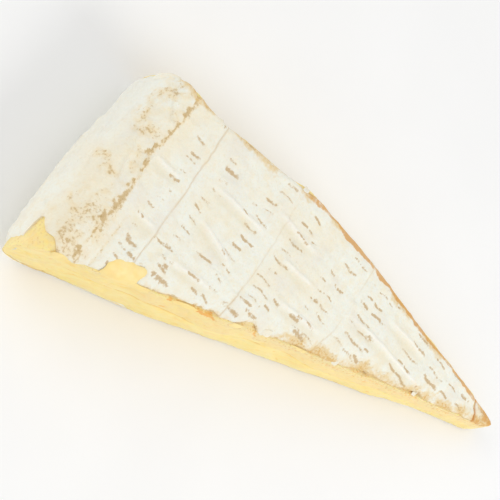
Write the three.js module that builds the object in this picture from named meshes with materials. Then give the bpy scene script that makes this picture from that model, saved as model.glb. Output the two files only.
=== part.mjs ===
// A cut wedge of soft ripened cheese, lying on its flat base. Millimetres, +Z up.
// The tip points along +X and the heel, which was the rim of the round cheese, faces -X.
// The near cut faces -Y and the far cut +Y.
import * as THREE from 'three';
import { mergeVertices } from 'three/addons/utils/BufferGeometryUtils.js';

const { clamp, lerp, smoothstep, degToRad } = THREE.MathUtils;

// Driving dimensions. Radii are from the middle of the round cheese.
const HALF_ANGLE = degToRad(10.05);
const TIP_RADIUS = 7;
const RIDGE_RADIUS = 168;
const NOSE_RADIUS = 181.5;
const BASE_RADIUS = 163;
const TIP_HEIGHT = 9;
const HEEL_HEIGHT = 29;
const NOSE_HEIGHT = 13;
const HEIGHT_CURVE = 0.9;

// How far the hand cut strays from a true sector of a circle
const SIDE_SKEW = 0.048;
const HEEL_FLATTENING = 0.6;
const TIP_BLUNTING = 6;
const TIP_BEND = { shift: 1.8, reach: 50 };
const FAR_CUT_SWELLS = [
  { at: 78, amount: 0.6, spread: 14 },
  { at: 107, amount: 3.7, spread: 34 },
  { at: 115, amount: 0.7, spread: 5 },
  { at: 157, amount: -0.5, spread: 6 },
  { at: 174, amount: 1.5, spread: 9 },
];
const HEEL_TRIM = { depth: 1.1, from: 160, side: 0.5 };

// Soft paste: the near cut leans out over its foot, and the rind rolls over the cuts
const NEAR_LEAN = 3.5;
const FAR_LEAN = 1;
const LEAN_AT_TIP = 0.57;
const LEAN_RISE = { from: 35, to: 52 };
const LEAN_AT_HEEL = 0.3;
const LEAN_FALL = { from: 130, to: 165 };
const NEAR_ROLL = { drop: 2.4, width: 6 };
const FAR_ROLL = { drop: 0.8, width: 2.5 };
const ROLL_SHARE_OF_HALF = 0.8;
const FOOT_TUCK = 0.25;
const EDGE_POWER = 4;
const NOSE_FULLNESS = 0.75;

// Relief of the rind: stitches of the draining mat, the rubbed rim, and a fold beside it
const CREASES = [
  { at: 83, depth: 0.7 },
  { at: 118.5, depth: 0.6 },
  { at: 152.5, depth: 0.8 },
];
const CREASE_WIDTH = 1.1;
const RIM_RIDGE = { height: 0.7, width: 2.2 };
const RIM_FOLD = { at: 162.5, depth: 0.6, width: 1.4, until: -0.4, fade: 0.2 };
const TIP_CRACK = { at: 17, depth: 0.9, width: 1.2 };
const PASTE_LUMP = { at: 157, across: -0.97, height: 1.2, length: 7, width: 0.09 };
const WAVES = [
  { amount: 0.22, along: 31, across: 1.7, phase: 0.4 },
  { amount: 0.16, along: 17, across: -2.9, phase: 2.1 },
  { amount: 0.10, along: 9.5, across: 4.6, phase: 4.4 },
];
const CUT_WAVES = [
  { amount: 0.35, along: 41, across: 1.1, phase: 1.3 },
  { amount: 0.20, along: 19, across: -2.3, phase: 3.0 },
];

// Mesh: stations run from the tip to the nose, and each is one closed loop
const STATIONS_PER_SPAN = 9;
const CREASE_STEPS = [-2.6, -1.1, 0, 1.1, 2.6];
const TIP_CRACK_STEPS = [-1.5, 0, 1.5];
const TIP_STEPS = [0.8, 2];
const RIDGE_STEPS = [-2, 0];
const NOSE_STATIONS = 9;
const COLUMNS = 18;
const CUT_ROWS = 6;
const MERGE_DISTANCE = 1e-4;

const RIND_COLOR = 0xf1ecd8;
const RIND_ROUGHNESS = 0.85;

const bump = (distance, width) => Math.exp(-((distance / width) ** 2));

const waveHeight = (waves, radius, across) => waves.reduce(
  (sum, wave) => sum + wave.amount
    * Math.sin(2 * Math.PI * radius / wave.along + wave.across * across + wave.phase),
  0,
);

// How blunt the tip is: 0 at the very tip, 1 once the two cuts run straight
function bluntness(radius) {
  const k = clamp((radius - TIP_RADIUS) / TIP_BLUNTING, 0, 1);
  return Math.sqrt(1 - (1 - k) ** 2);
}

function cheeseHeight(radius) {
  const share = clamp((radius - TIP_RADIUS) / (RIDGE_RADIUS - TIP_RADIUS), 0, 1);
  return lerp(TIP_HEIGHT, HEEL_HEIGHT, Math.sin(share * Math.PI / 2) ** HEIGHT_CURVE);
}

function leanShare(radius) {
  const rise = smoothstep(radius, LEAN_RISE.from, LEAN_RISE.to);
  const fall = smoothstep(radius, LEAN_FALL.from, LEAN_FALL.to);
  return lerp(LEAN_AT_TIP, 1, rise) * lerp(1, LEAN_AT_HEEL, fall) * bluntness(radius);
}

// across runs from -1 at the near cut to 1 at the far cut; nearOut and farOut push out
function place(radius, across, height, nearOut = 0, farOut = 0) {
  const angle = across * HALF_ANGLE * bluntness(radius);
  const edgeCosine = Math.cos(HALF_ANGLE * bluntness(radius));
  const reach = radius * (1 - SIDE_SKEW * across);
  const arcCosine = lerp(Math.cos(angle), edgeCosine, HEEL_FLATTENING);
  const swell = FAR_CUT_SWELLS.reduce(
    (sum, s) => sum + s.amount * bump(radius - s.at, s.spread), 0,
  ) * clamp(across, 0, 1);
  const far = farOut + swell;
  const bend = TIP_BEND.shift * clamp(1 - (radius - TIP_RADIUS) / TIP_BEND.reach, 0, 1) ** 2;
  const trim = HEEL_TRIM.depth * smoothstep(radius, HEEL_TRIM.from, NOSE_RADIUS)
    * smoothstep(across, 0, HEEL_TRIM.side);
  return new THREE.Vector3(
    -reach * arcCosine + (nearOut + far) * Math.sin(HALF_ANGLE) + trim,
    reach * Math.sin(angle) + (far - nearOut) * Math.cos(HALF_ANGLE) - bend,
    height,
  );
}

// Rounding of the rind where it rolls over a cut, by distance from that cut
function rollDrop(radius, across) {
  const halfWidth = radius * HALF_ANGLE;
  const drop = (roll, distance) => {
    const width = Math.min(roll.width, halfWidth * ROLL_SHARE_OF_HALF);
    return roll.drop * (width / roll.width) * clamp(1 - distance / width, 0, 1) ** 2;
  };
  const near = drop(NEAR_ROLL, (1 + across) * halfWidth);
  const far = drop(FAR_ROLL, (1 - across) * halfWidth);
  return (near + far) * bluntness(radius);
}

function rindRelief(radius, across) {
  let relief = waveHeight(WAVES, radius, across);
  for (const crease of CREASES) {
    relief -= crease.depth * bump(radius - crease.at, CREASE_WIDTH);
  }
  relief += RIM_RIDGE.height * bump(radius - RIDGE_RADIUS, RIM_RIDGE.width);
  const foldShare = smoothstep(-across, -RIM_FOLD.until, -RIM_FOLD.until + RIM_FOLD.fade);
  relief -= RIM_FOLD.depth * foldShare * bump(radius - RIM_FOLD.at, RIM_FOLD.width);
  relief -= TIP_CRACK.depth * bump(radius - TIP_CRACK.at, TIP_CRACK.width);
  const lump = bump(radius - PASTE_LUMP.at, PASTE_LUMP.length)
    * bump(across - PASTE_LUMP.across, PASTE_LUMP.width);
  return (relief + PASTE_LUMP.height * lump) * bluntness(radius);
}

// One station: where its top edge and its bottom edge lie, before relief
function bodyStation(radius) {
  const share = (radius - TIP_RADIUS) / (RIDGE_RADIUS - TIP_RADIUS);
  return {
    topRadius: radius,
    topHeight: cheeseHeight(radius),
    baseRadius: lerp(TIP_RADIUS, BASE_RADIUS, share),
    baseHeight: 0,
    reliefShare: 1,
  };
}

function noseStation(turn) {
  const overhang = NOSE_RADIUS - RIDGE_RADIUS;
  const rise = HEEL_HEIGHT - NOSE_HEIGHT;
  const cosine = turn < Math.PI / 2 ? Math.cos(turn) : 0;
  return {
    topRadius: RIDGE_RADIUS + overhang * Math.sin(turn) ** NOSE_FULLNESS,
    topHeight: NOSE_HEIGHT + rise * cosine ** NOSE_FULLNESS,
    baseRadius: BASE_RADIUS + (NOSE_RADIUS - BASE_RADIUS) * Math.sin(turn),
    baseHeight: NOSE_HEIGHT * (1 - cosine),
    reliefShare: cosine,
  };
}

function makeStations() {
  const marks = [TIP_RADIUS, ...CREASES.map((crease) => crease.at), RIDGE_RADIUS];
  const radii = TIP_STEPS.map((step) => TIP_RADIUS + step);
  TIP_CRACK_STEPS.forEach((step) => radii.push(TIP_CRACK.at + step));
  for (let i = 1; i < marks.length; i += 1) {
    for (let j = 0; j < STATIONS_PER_SPAN; j += 1) {
      radii.push(lerp(marks[i - 1], marks[i], j / STATIONS_PER_SPAN));
    }
  }
  CREASES.forEach((crease) => CREASE_STEPS.forEach((step) => radii.push(crease.at + step)));
  RIDGE_STEPS.forEach((step) => radii.push(RIDGE_RADIUS + step));
  radii.push(RIM_FOLD.at);
  const spaced = [...new Set(radii)].sort((a, b) => a - b);
  const stations = spaced.map(bodyStation);
  for (let i = 1; i <= NOSE_STATIONS; i += 1) {
    stations.push(noseStation(i / NOSE_STATIONS * Math.PI / 2));
  }
  return stations;
}

// A cut face seen from the side: it bulges out most a little above its foot
function cutBulge(heightShare) {
  return (1 - heightShare ** 2) * (1 - FOOT_TUCK * (1 - heightShare) ** EDGE_POWER);
}

function cutOffsets(station, side, heightShare) {
  const radius = lerp(station.baseRadius, station.topRadius, heightShare);
  const share = leanShare(radius) * Math.sqrt(station.reliefShare);
  const middleShare = 4 * heightShare * (1 - heightShare);
  const wave = waveHeight(CUT_WAVES, radius, heightShare * 2) * middleShare;
  const lean = (side < 0 ? NEAR_LEAN : FAR_LEAN) * cutBulge(heightShare);
  return share * (lean + wave);
}

function topPoint(station, across) {
  const lift = rindRelief(station.topRadius, across) - rollDrop(station.topRadius, across);
  const height = station.topHeight + lift * station.reliefShare;
  return place(station.topRadius, across, height);
}

function basePoint(station, across) {
  const nearShare = clamp(-across, 0, 1) ** EDGE_POWER;
  const farShare = clamp(across, 0, 1) ** EDGE_POWER;
  const nearOut = cutOffsets(station, -1, 0) * nearShare;
  const farOut = cutOffsets(station, 1, 0) * farShare;
  return place(station.baseRadius, across, station.baseHeight, nearOut, farOut);
}

function cutPoint(station, side, heightShare) {
  const top = topPoint(station, side);
  const height = lerp(station.baseHeight, top.z, heightShare);
  const radius = lerp(station.baseRadius, station.topRadius, heightShare);
  const out = cutOffsets(station, side, heightShare);
  return side < 0 ? place(radius, side, height, out, 0) : place(radius, side, height, 0, out);
}

// The loop of one station: over the rind, down the far cut, back under, up the near cut
function stationLoop(station) {
  const loop = [];
  for (let i = 0; i <= COLUMNS; i += 1) {
    loop.push(topPoint(station, Math.sin((i / COLUMNS - 0.5) * Math.PI)));
  }
  for (let i = CUT_ROWS - 1; i > 0; i -= 1) {
    loop.push(cutPoint(station, 1, i / CUT_ROWS));
  }
  for (let i = COLUMNS; i >= 0; i -= 1) {
    loop.push(basePoint(station, Math.sin((i / COLUMNS - 0.5) * Math.PI)));
  }
  for (let i = 1; i < CUT_ROWS; i += 1) {
    loop.push(cutPoint(station, -1, i / CUT_ROWS));
  }
  return loop;
}

// Joins the loops into a skin; the loops at the tip and the nose are seams that close up
function skinGeometry(loops) {
  const size = loops[0].length;
  const positions = loops.flat().flatMap((point) => point.toArray());
  const indices = [];
  for (let i = 1; i < loops.length; i += 1) {
    for (let j = 0; j < size; j += 1) {
      const next = (j + 1) % size;
      const [a, b] = [(i - 1) * size + j, (i - 1) * size + next];
      const [c, d] = [i * size + j, i * size + next];
      indices.push(a, b, c, b, d, c);
    }
  }
  const geometry = new THREE.BufferGeometry();
  geometry.setAttribute('position', new THREE.Float32BufferAttribute(positions, 3));
  geometry.setIndex(indices);
  return geometry;
}

// Welds the seams and drops the triangles that they leave without an area
function weld(geometry) {
  const welded = mergeVertices(geometry, MERGE_DISTANCE);
  const index = welded.getIndex().array;
  const kept = [];
  for (let i = 0; i < index.length; i += 3) {
    const [a, b, c] = index.slice(i, i + 3);
    if (a !== b && b !== c && c !== a) {
      kept.push(a, b, c);
    }
  }
  welded.setIndex(kept);
  return welded;
}

function tipLoop(size) {
  const count = { top: COLUMNS + 1, cut: CUT_ROWS - 1 };
  const loop = [];
  for (let i = 0; i < size; i += 1) {
    let share = 0;
    if (i < count.top) {
      share = 1;
    } else if (i < count.top + count.cut) {
      share = 1 - (i - count.top + 1) / CUT_ROWS;
    } else if (i >= size - count.cut) {
      share = (i - (size - count.cut) + 1) / CUT_ROWS;
    }
    loop.push(place(TIP_RADIUS, 0, TIP_HEIGHT * share));
  }
  return loop;
}

function makeWedge() {
  const loops = makeStations().map(stationLoop);
  loops[0] = tipLoop(loops[0].length);
  const geometry = weld(skinGeometry(loops));
  geometry.computeBoundingBox();
  const middle = geometry.boundingBox.getCenter(new THREE.Vector3());
  geometry.translate(-middle.x, -middle.y, -geometry.boundingBox.min.z);
  geometry.computeVertexNormals();
  const rind = new THREE.MeshStandardMaterial({
    color: RIND_COLOR, roughness: RIND_ROUGHNESS, metalness: 0,
  });
  const mesh = new THREE.Mesh(geometry, rind);
  mesh.name = 'brie_wedge';
  return mesh;
}

const group = new THREE.Group();
group.add(makeWedge());

export default group;
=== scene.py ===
import math

import bmesh
import bpy
import numpy as np
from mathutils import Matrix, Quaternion, Vector


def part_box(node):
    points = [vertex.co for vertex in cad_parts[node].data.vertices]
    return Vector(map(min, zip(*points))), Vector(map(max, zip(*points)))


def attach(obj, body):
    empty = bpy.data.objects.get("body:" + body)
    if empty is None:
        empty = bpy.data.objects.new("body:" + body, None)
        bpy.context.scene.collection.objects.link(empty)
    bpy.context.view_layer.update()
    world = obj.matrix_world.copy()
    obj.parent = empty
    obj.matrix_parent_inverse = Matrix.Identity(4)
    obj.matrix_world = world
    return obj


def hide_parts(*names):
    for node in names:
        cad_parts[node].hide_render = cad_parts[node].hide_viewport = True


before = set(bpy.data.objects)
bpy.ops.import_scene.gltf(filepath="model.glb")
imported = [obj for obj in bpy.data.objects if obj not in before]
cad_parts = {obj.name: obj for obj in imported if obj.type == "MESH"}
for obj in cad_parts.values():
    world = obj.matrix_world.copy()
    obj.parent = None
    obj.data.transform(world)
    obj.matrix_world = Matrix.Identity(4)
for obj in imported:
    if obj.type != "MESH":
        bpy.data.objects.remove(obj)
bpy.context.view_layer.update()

NODE = "brie_wedge"
MM = 0.001

# The form, in millimetres, as the solid has it. Radii are from the middle of the round cheese,
# and places across run from -1 at the near cut to 1 at the far cut.
HALF_ANGLE = math.radians(10.05)
TIP_RADIUS = 7.0
RIDGE_RADIUS = 168.0
NOSE_RADIUS = 181.5
BASE_RADIUS = 163.0
TIP_HEIGHT = 9.0
HEEL_HEIGHT = 29.0
NOSE_HEIGHT = 13.0
HEIGHT_CURVE = 0.9
NOSE_FULLNESS = 0.75

# How far the hand cut strays from a true sector of a circle
SIDE_SKEW = 0.048
HEEL_FLATTENING = 0.6
TIP_BLUNTING = 6.0
TIP_BEND = 1.8
TIP_BEND_REACH = 50.0
# Swells of the far cut: radius, how far out, reach
FAR_CUT_SWELLS = (
    (78.0, 0.6, 14.0),
    (107.0, 3.7, 34.0),
    (115.0, 0.7, 5.0),
    (157.0, -0.5, 6.0),
    (174.0, 1.5, 9.0),
)
# Trim of the heel's far corner: depth, the radius it starts at, the place across where it is full
HEEL_TRIM = (1.1, 160.0, 0.5)

# Soft paste: the near cut leans out over its foot, and the rind rolls over the cuts
NEAR_LEAN = 3.5
FAR_LEAN = 1.0
LEAN_AT_TIP = 0.57
LEAN_RISE = (35.0, 52.0)
LEAN_AT_HEEL = 0.3
LEAN_FALL = (130.0, 165.0)
NOSE_LEAN_START = 158.0
NOSE_LEAN_CURVE = 3
FOOT_TUCK = 0.25
EDGE_POWER = 4
# Rolls over the near and the far cut: drop, width
NEAR_ROLL = (2.4, 6.0)
FAR_ROLL = (0.8, 2.5)
ROLL_SHARE_OF_HALF = 0.8
BASE_ROLL_LOSS = 0.7

# Relief of the top. Waves are given as height, length, slant and phase.
RIM_RIDGE_HEIGHT = 0.7
RIM_RIDGE_WIDTH = 2.2
RIM_FOLD_AT = 162.5
RIM_FOLD_DEPTH = 0.6
RIM_FOLD_WIDTH = 1.4
RIM_FOLD_UNTIL = -0.4
RIM_FOLD_FADE = 0.2
WAVES = ((0.22, 31.0, 1.7, 0.4), (0.16, 17.0, -2.9, 2.1), (0.10, 9.5, 4.6, 4.4))
CUT_WAVES = ((0.35, 41.0, 1.1, 1.3), (0.20, 19.0, -2.3, 3.0))
TIP_CRACK_AT = 17.0
TIP_CRACK_DEPTH = 0.63
TIP_CRACK_WIDTH = 0.5

# Stitch creases: radius, strength, how far the line turns from the middle to a cut
CREASES = ((83.0, 0.7, -0.3), (118.5, 0.6, 1.3), (152.5, 0.8, 1.5))
CREASE_BOW = 1.6
CREASE_GROOVE = 0.05
CREASE_WIDTH = 0.42
CREASE_LINE_WIDTH = 0.26
CREASE_LIP = 0.25
CREASE_LIP_AT = 1.9
CREASE_LIP_WIDTH = 1.4
CLEAR_CREASE_FROM = 150.0

# The rind: how thick it is and how it ends at the cuts
RIND_THICKNESS = 0.9
FLOOR_GAP = 0.02
PASTE_INSET = 0.75
RIND_PROUD = 0.15
RIND_LAP_PROUD = 0.3
RIND_TIP_GAP = 0.8
CORNER_SOFTENING = 0.7
# Laps and tears of the near edge: how far, measured along what, where, reach, power of the form
NEAR_EDGE = (
    (1.4, "past", -1.0, 4.0, 2),
    (-1.6, "past", -15.0, 4.2, 4),
    (2.0, "radius", 103.0, 2.6, 2),
    (-1.6, "radius", 109.0, 3.4, 2),
    (-0.9, "radius", 66.0, 4.0, 2),
    (-0.7, "radius", 44.0, 4.0, 2),
    (-5.5, "past", 12.5, 6.5, 4),
    (-4.5, "past", 15.5, 2.6, 2),
)
# Notch of the far edge by the rim: depth, place past the rim, reach
FAR_NOTCH = (1.6, 1.0, 1.3)

# The skin's wrinkles, and heights of its fine relief
WRINKLE_WIDTH = 0.09
RIM_WRINKLES = 0.85
FLAT_WRINKLES = 0.45
HEEL_FOLDS = 0.28
HEEL_LUMPS = 0.18
SKIN_LUMPS = 0.3
SKIN_GRAIN = 0.08

# The draining mat's reeds: their print, the marks that they left, and lines that stand out
REED_PITCH = 3.5
REED_TURN = math.radians(-12.0)
REED_DEPTH = 0.09
RAISED_HEIGHT = 0.75
RAISED_WIDTH = 0.8
RAISED_HOLLOW_DEPTH = 0.25
RAISED_HOLLOW_AT = 1.9
RAISED_HOLLOW_WIDTH = 1.3
MARK_DEPTH = 0.12
MARK_SIDE_PLAY = 0.8
MARK_ALONG_PLAY = 2.4
MARK_BREADTH = 0.40
MARK_BREADTH_PLAY = 0.26
MARK_BREADTH_NEAR = 0.14
MARK_FADE = (0.6, 1.1)
# Rows of brown marks: place along the wedge, chance of a mark, longest half length
MARK_ROWS = (
    (23.0, 1.0, 3.6),
    (31.0, 1.0, 4.8),
    (40.5, 1.0, 5.2),
    (51.5, 1.0, 7.0),
    (69.0, 0.45, 2.6),
    (75.0, 1.0, 7.4),
    (90.5, 0.75, 4.6),
    (95.5, 0.4, 2.4),
    (106.5, 0.3, 2.0),
    (112.0, 0.85, 4.6),
    (126.5, 0.75, 4.2),
    (131.0, 0.35, 2.4),
    (144.5, 0.65, 3.4),
    (157.0, 0.6, 2.4),
)
# Single marks near the heel and the near cut: radius, sideways, half length, half breadth
SINGLE_MARKS = (
    (161.0, -18.9, 2.6, 0.8),
    (159.7, -22.2, 2.0, 0.8),
    (161.3, -25.5, 2.0, 0.6),
    (165.2, -27.3, 1.5, 0.8),
    (148.6, -23.3, 4.2, 0.8),
    (155.6, -23.6, 1.6, 1.3),
    (148.3, -19.6, 1.2, 0.9),
    (151.0, -14.4, 4.6, 0.5),
    (139.0, -18.0, 3.0, 0.6),
    (137.0, -11.5, 3.6, 0.5),
    (122.5, -19.6, 4.0, 0.9),
    (119.0, -15.5, 3.2, 0.6),
    (96.5, -14.8, 3.4, 0.9),
    (100.5, -11.6, 2.6, 0.7),
    (139.5, 14.5, 3.2, 0.9),
    (152.5, 12.5, 2.2, 0.6),
)
# Reeds that stand out as soft raised lines: start radius, start sideways, end radius, end sideways
RAISED_REEDS = (
    (163.5, 6.0, 154.0, 4.4),
    (163.0, -10.5, 154.5, -12.0),
    (119.0, 12.6, 101.0, 8.6),
    (66.0, 5.2, 47.0, 2.6),
    (112.0, 1.5, 98.0, -0.6),
    (142.0, 8.4, 121.0, 4.6),
    (143.0, -1.9, 128.0, -9.0),
    (147.0, -17.4, 130.0, -18.1),
    (108.0, -10.0, 89.0, -10.9),
    (79.0, -0.8, 42.0, -6.6),
)

# Lumps on the skin: side of the cut, place past the rim, place from that cut towards the far one,
# half length, half width, thickness, how far the outer side curls up
PASTE_SMEARS = (
    (-1, -15.0, -0.5, 5.8, 4.2, 0.5, 0.0),
    (-1, -22.0, -1.3, 5.0, 1.3, 0.4, 0.0),
    (-1, 3.0, -0.8, 4.0, 1.2, 0.5, 0.0),
    (-1, -38.0, -1.5, 4.2, 1.0, 0.4, 0.0),
    (-1, -57.0, -1.2, 5.2, 0.9, 0.4, 0.0),
    (-1, -80.0, -1.0, 4.0, 0.8, 0.35, 0.0),
)
RIND_FLAKES = (
    (1, 14.0, -0.8, 4.6, 2.2, 0.4, 0.8),
    (1, -47.0, -0.3, 1.4, 0.9, 0.3, 0.7),
    (-1, -93.0, 0.2, 1.3, 0.8, 0.3, 0.8),
    (-1, -66.0, 0.3, 1.6, 0.8, 0.3, 0.5),
    (-1, -127.0, 0.1, 0.9, 0.5, 0.2, 0.2),
)
PATCH_RINGS = 12
PATCH_SPOKES = 48

# The cut faces: the long fold's share of the height, and heights of their relief
FOLD_SHARE = 0.60
FOLD_SHARE_FAR = 0.14
FOLD_WIDTH = 0.03
NEAR_FOLD_STEP = 0.75
NEAR_FOLD_GROOVE = 0.6
FAR_FOLD_STEP = 0.35
FAR_FOLD_GROOVE = 0.25
KNIFE_DRAG = 0.20
FAR_KNIFE_DRAG = 0.12
PASTE_LUMPS = 0.20
PASTE_GRAIN = 0.05
PASTE_CRACKS = 0.16
PIT_DEPTH = 0.38
SPLIT_DEPTH = 0.35
NEAR_PITS = 46
FAR_PITS = 34

# Sizes of the meshes
PROFILE_SAMPLES = 400
FINE_STEP = 0.36
BASE_STEP = 1.2
RIND_COLUMNS = 108
LINING_COLUMNS = 12
PASTE_STATIONS = 400
PASTE_NOSE_STATIONS = 45
PASTE_TOP_COLUMNS = 30
PASTE_CUT_ROWS = 60
SLOPE_STEP = 0.4
WELD_DISTANCE = 2e-6
SHARP_ANGLE = math.radians(55.0)
OCTAVES = 3
SEED = 7

# The camera stands over the heel and looks down the wedge. Angles in degrees, places in mm.
CAMERA_AIM = (-119.1, 0.8, 20.0)
CAMERA_AZIMUTH = -147.46
CAMERA_ELEVATION = 55.46
CAMERA_ROLL = 84.35
CAMERA_DISTANCE = 638.0
CAMERA_LENS = 159.9
CAMERA_SENSOR = 36.0

# Lights: name, direction, distance and size in metres, power in watts
LIGHTS = (
    ("key", (0.6, -0.45, 0.62), 1.0, 0.45, 3.2),
    ("heel_fill", (-0.9, 0.2, 0.5), 1.2, 0.9, 3.3),
)
WORLD_STRENGTH = 0.72
FLOOR_HALF = 3.0


# Numbers

def bump(distance, width, power=2):
    """1 in the middle, near 0 past the width. A higher power gives it a flatter top."""
    return np.exp(-((distance / width) ** power))


def clamp(x):
    return np.clip(x, 0.0, 1.0)


def ease(x, low, high):
    """0 below low, 1 above high, and a soft step between them."""
    t = clamp((x - low) / (high - low))
    return t * t * (3.0 - 2.0 * t)


def fade(x, low, high):
    return 1.0 - ease(x, low, high)


def unit(vectors):
    return vectors / np.maximum(np.linalg.norm(vectors, axis=-1, keepdims=True), 1e-9)


def lattice(ix, iy, iz, seed):
    h = (ix * 374761393 + iy * 668265263 + iz * 1440662683 + seed * 974634777) & 0xFFFFFFFF
    h = ((h ^ (h >> 13)) * 1274126177) & 0xFFFFFFFF
    return ((h ^ (h >> 16)) & 0xFFFFFF) / float(0x7FFFFF) - 1.0


def value_noise(points, size, seed):
    """Smooth noise from -1 to 1 over points of shape (..., 3); size is its cell in mm."""
    scaled = points / size
    cell = np.floor(scaled).astype(np.int64)
    part = scaled - cell
    part = part * part * (3.0 - 2.0 * part)
    total = 0.0
    for corner in range(8):
        step = (corner & 1, (corner >> 1) & 1, corner >> 2)
        weight = 1.0
        for axis in range(3):
            weight = weight * (part[..., axis] if step[axis] else 1.0 - part[..., axis])
        ids = [cell[..., axis] + step[axis] for axis in range(3)]
        total = total + weight * lattice(ids[0], ids[1], ids[2], seed)
    return total


def fractal(points, size, seed):
    """Smooth noise in layers, each half as large and half as strong as the one before."""
    return sum(value_noise(points, size / 2.0 ** octave, seed + octave) / 2.0 ** octave
               for octave in range(OCTAVES))


def wrinkle_lines(points, size, seed):
    """Thin crooked ridges, 0 to 1, where smooth noise crosses zero."""
    crossing = np.abs(value_noise(points, size, seed) + 0.4 * value_noise(points, 0.45 * size, seed + 1))
    return bump(crossing, WRINKLE_WIDTH)


def line_noise(x, size, seed):
    """value_noise along a line."""
    points = np.stack([x, np.zeros_like(x) + 0.37, np.zeros_like(x) + 0.61], -1)
    return value_noise(points, size, seed)


# Form of the wedge

def bluntness(radius):
    k = clamp((radius - TIP_RADIUS) / TIP_BLUNTING)
    return np.sqrt(1.0 - (1.0 - k) ** 2)


def cheese_height(radius):
    share = clamp((radius - TIP_RADIUS) / (RIDGE_RADIUS - TIP_RADIUS))
    return TIP_HEIGHT + (HEEL_HEIGHT - TIP_HEIGHT) * np.sin(share * np.pi / 2.0) ** HEIGHT_CURVE


def top_width(radius):
    """Width of the top from cut to cut, along its arc."""
    return 2.0 * HALF_ANGLE * bluntness(radius) * radius


def wave_height(waves, radius, across):
    return sum(a * np.sin(2.0 * np.pi * radius / along + k * across + phase)
               for a, along, k, phase in waves)


def place(radius, across, height, near_out=0.0, far_out=0.0):
    """Point of the wedge before it is moved into the frame, in mm."""
    blunt = bluntness(radius)
    angle = across * HALF_ANGLE * blunt
    edge_cosine = np.cos(HALF_ANGLE * blunt)
    reach = radius * (1.0 - SIDE_SKEW * across * blunt)
    arc_cosine = np.cos(angle) + (edge_cosine - np.cos(angle)) * HEEL_FLATTENING
    swell = sum(a * bump(radius - at, spread) for at, a, spread in FAR_CUT_SWELLS)
    far = far_out + swell * clamp(across)
    bend = TIP_BEND * clamp(1.0 - (radius - TIP_RADIUS) / TIP_BEND_REACH) ** 2
    trim_depth, trim_from, trim_side = HEEL_TRIM
    trim = trim_depth * ease(radius, trim_from, NOSE_RADIUS) * ease(across, 0.0, trim_side)
    x = -reach * arc_cosine + (near_out + far) * math.sin(HALF_ANGLE) + trim
    y = reach * np.sin(angle) + (far - near_out) * math.cos(HALF_ANGLE) - bend
    return np.stack(np.broadcast_arrays(x, y, height), -1)


def cut_out(side, radius, height):
    """How far a cut face stands out from the plain sector, at a height."""
    share = clamp(height / cheese_height(radius))
    lean_share = LEAN_AT_TIP + (1.0 - LEAN_AT_TIP) * ease(radius, *LEAN_RISE)
    lean_share = lean_share * (1.0 - (1.0 - LEAN_AT_HEEL) * ease(radius, *LEAN_FALL))
    past = clamp((radius - NOSE_LEAN_START) / (NOSE_RADIUS - NOSE_LEAN_START))
    fade = np.sqrt(1.0 - past ** NOSE_LEAN_CURVE)
    bulge = (1.0 - share ** 2) * (1.0 - FOOT_TUCK * (1.0 - share) ** EDGE_POWER)
    wave = wave_height(CUT_WAVES, radius, share * 2.0) * share * (1.0 - share) * 4.0
    lean = (NEAR_LEAN if side < 0 else FAR_LEAN) * bulge
    return lean_share * bluntness(radius) * fade * (lean + wave)


def roll_drop(radius, across):
    """How far the rind drops where it rolls over the cuts."""
    half_width = radius * HALF_ANGLE
    total = 0.0
    for (drop, full_width), distance in ((NEAR_ROLL, 1.0 + across), (FAR_ROLL, 1.0 - across)):
        width = np.minimum(full_width, half_width * ROLL_SHARE_OF_HALF)
        past = clamp(1.0 - distance * half_width / width)
        total = total + drop * (width / full_width) * past ** 2
    return total * bluntness(radius)


def broad_relief(radius, across):
    """The relief that the solid has too."""
    ridge = RIM_RIDGE_HEIGHT * bump(radius - RIDGE_RADIUS, RIM_RIDGE_WIDTH)
    fold_share = ease(-across, -RIM_FOLD_UNTIL, -RIM_FOLD_UNTIL + RIM_FOLD_FADE)
    fold = RIM_FOLD_DEPTH * fold_share * bump(radius - RIM_FOLD_AT, RIM_FOLD_WIDTH)
    return wave_height(WAVES, radius, across) + ridge - fold


def edge_share(side, across):
    """Share of a cut's lean that a place across takes part in, all of it at the cut itself."""
    return clamp(side * across) ** EDGE_POWER


# Profile of the rind from the tip over the top, round the heel and back under

def heel_curves(turn):
    """Over the heel down to its nose, then up to it from the base, and the share of the relief."""
    sine = np.sin(turn)
    cosine = np.where(turn < np.pi / 2.0 - 1e-9, np.cos(turn), 0.0)
    top_r = RIDGE_RADIUS + (NOSE_RADIUS - RIDGE_RADIUS) * sine ** NOSE_FULLNESS
    top_z = NOSE_HEIGHT + (HEEL_HEIGHT - NOSE_HEIGHT) * cosine ** NOSE_FULLNESS
    base_r = BASE_RADIUS + (NOSE_RADIUS - BASE_RADIUS) * sine
    return top_r, top_z, base_r, NOSE_HEIGHT * (1.0 - cosine), cosine


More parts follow.
